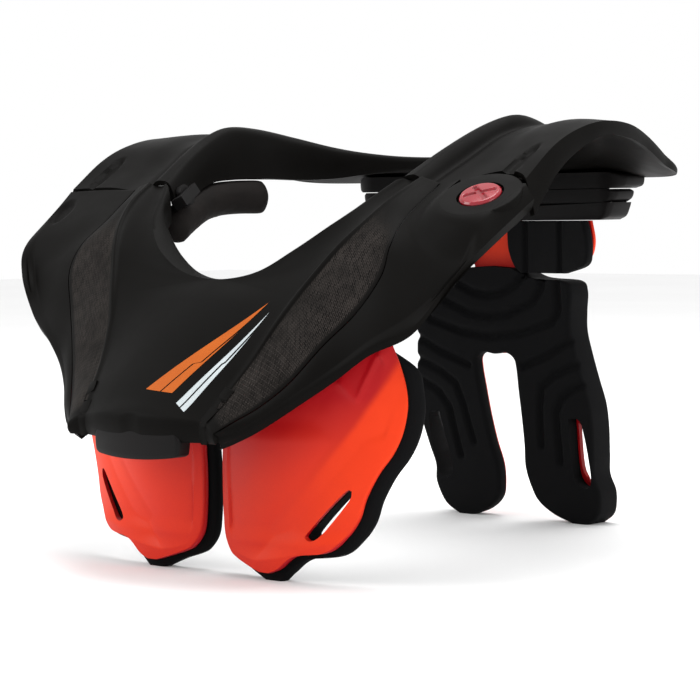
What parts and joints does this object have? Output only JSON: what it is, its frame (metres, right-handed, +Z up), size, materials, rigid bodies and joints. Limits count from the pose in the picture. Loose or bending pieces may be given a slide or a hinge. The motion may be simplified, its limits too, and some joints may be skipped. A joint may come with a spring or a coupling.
{
  "type": "motocross neck brace",
  "caption": "Hinged two-part protective neck brace: a black collar table with orange chest and back struts on foam pads.",
  "frame": {"origin": "on the floor under the middle of the brace's bounding box", "axes": "+Z up, the wearer faces -Y and the wearer's left is at +X"},
  "size_m": [0.3316, 0.333, 0.2293],
  "materials": {
    "shell": "soft-touch matte black",
    "clip": "satin black",
    "strut": "semi-gloss orange red",
    "foam": "moulded matte black foam",
    "pin": "glossy red"
  },
  "bodies": {
    "rear_half": {"rear_table": "shell", "shoulder_pad_left": "foam", "shoulder_pad_right": "foam", "latch_ear": "clip", "rear_bracket": "clip", "rear_strut": "strut", "back_pad": "foam", "wing_pad_left": "foam", "wing_pad_right": "foam"},
    "front_half": {"front_table": "shell", "side_panel_left": "shell", "side_panel_right": "shell", "front_tab": "clip", "front_strut_left": "strut", "front_strut_right": "strut", "front_pad_left": "foam", "front_pad_right": "foam", "latch_hook": "clip"},
    "pin": {"release_pin": "pin"}
  },
  "joints": [
    {"name": "front_swing", "type": "hinge", "parent": "rear_half", "child": "front_half", "pos_m": [0.14293, -0.06846, 0.18998], "axis": [0.0963, -0.4729, 0.8758], "range_deg": [0, 45]},
    {"name": "release_pin_turn", "type": "hinge", "parent": "rear_half", "child": "pin", "pos_m": [0.14293, -0.06846, 0.18998], "axis": [0.0963, -0.4729, 0.8758], "range_deg": [0, 90]}
  ]
}
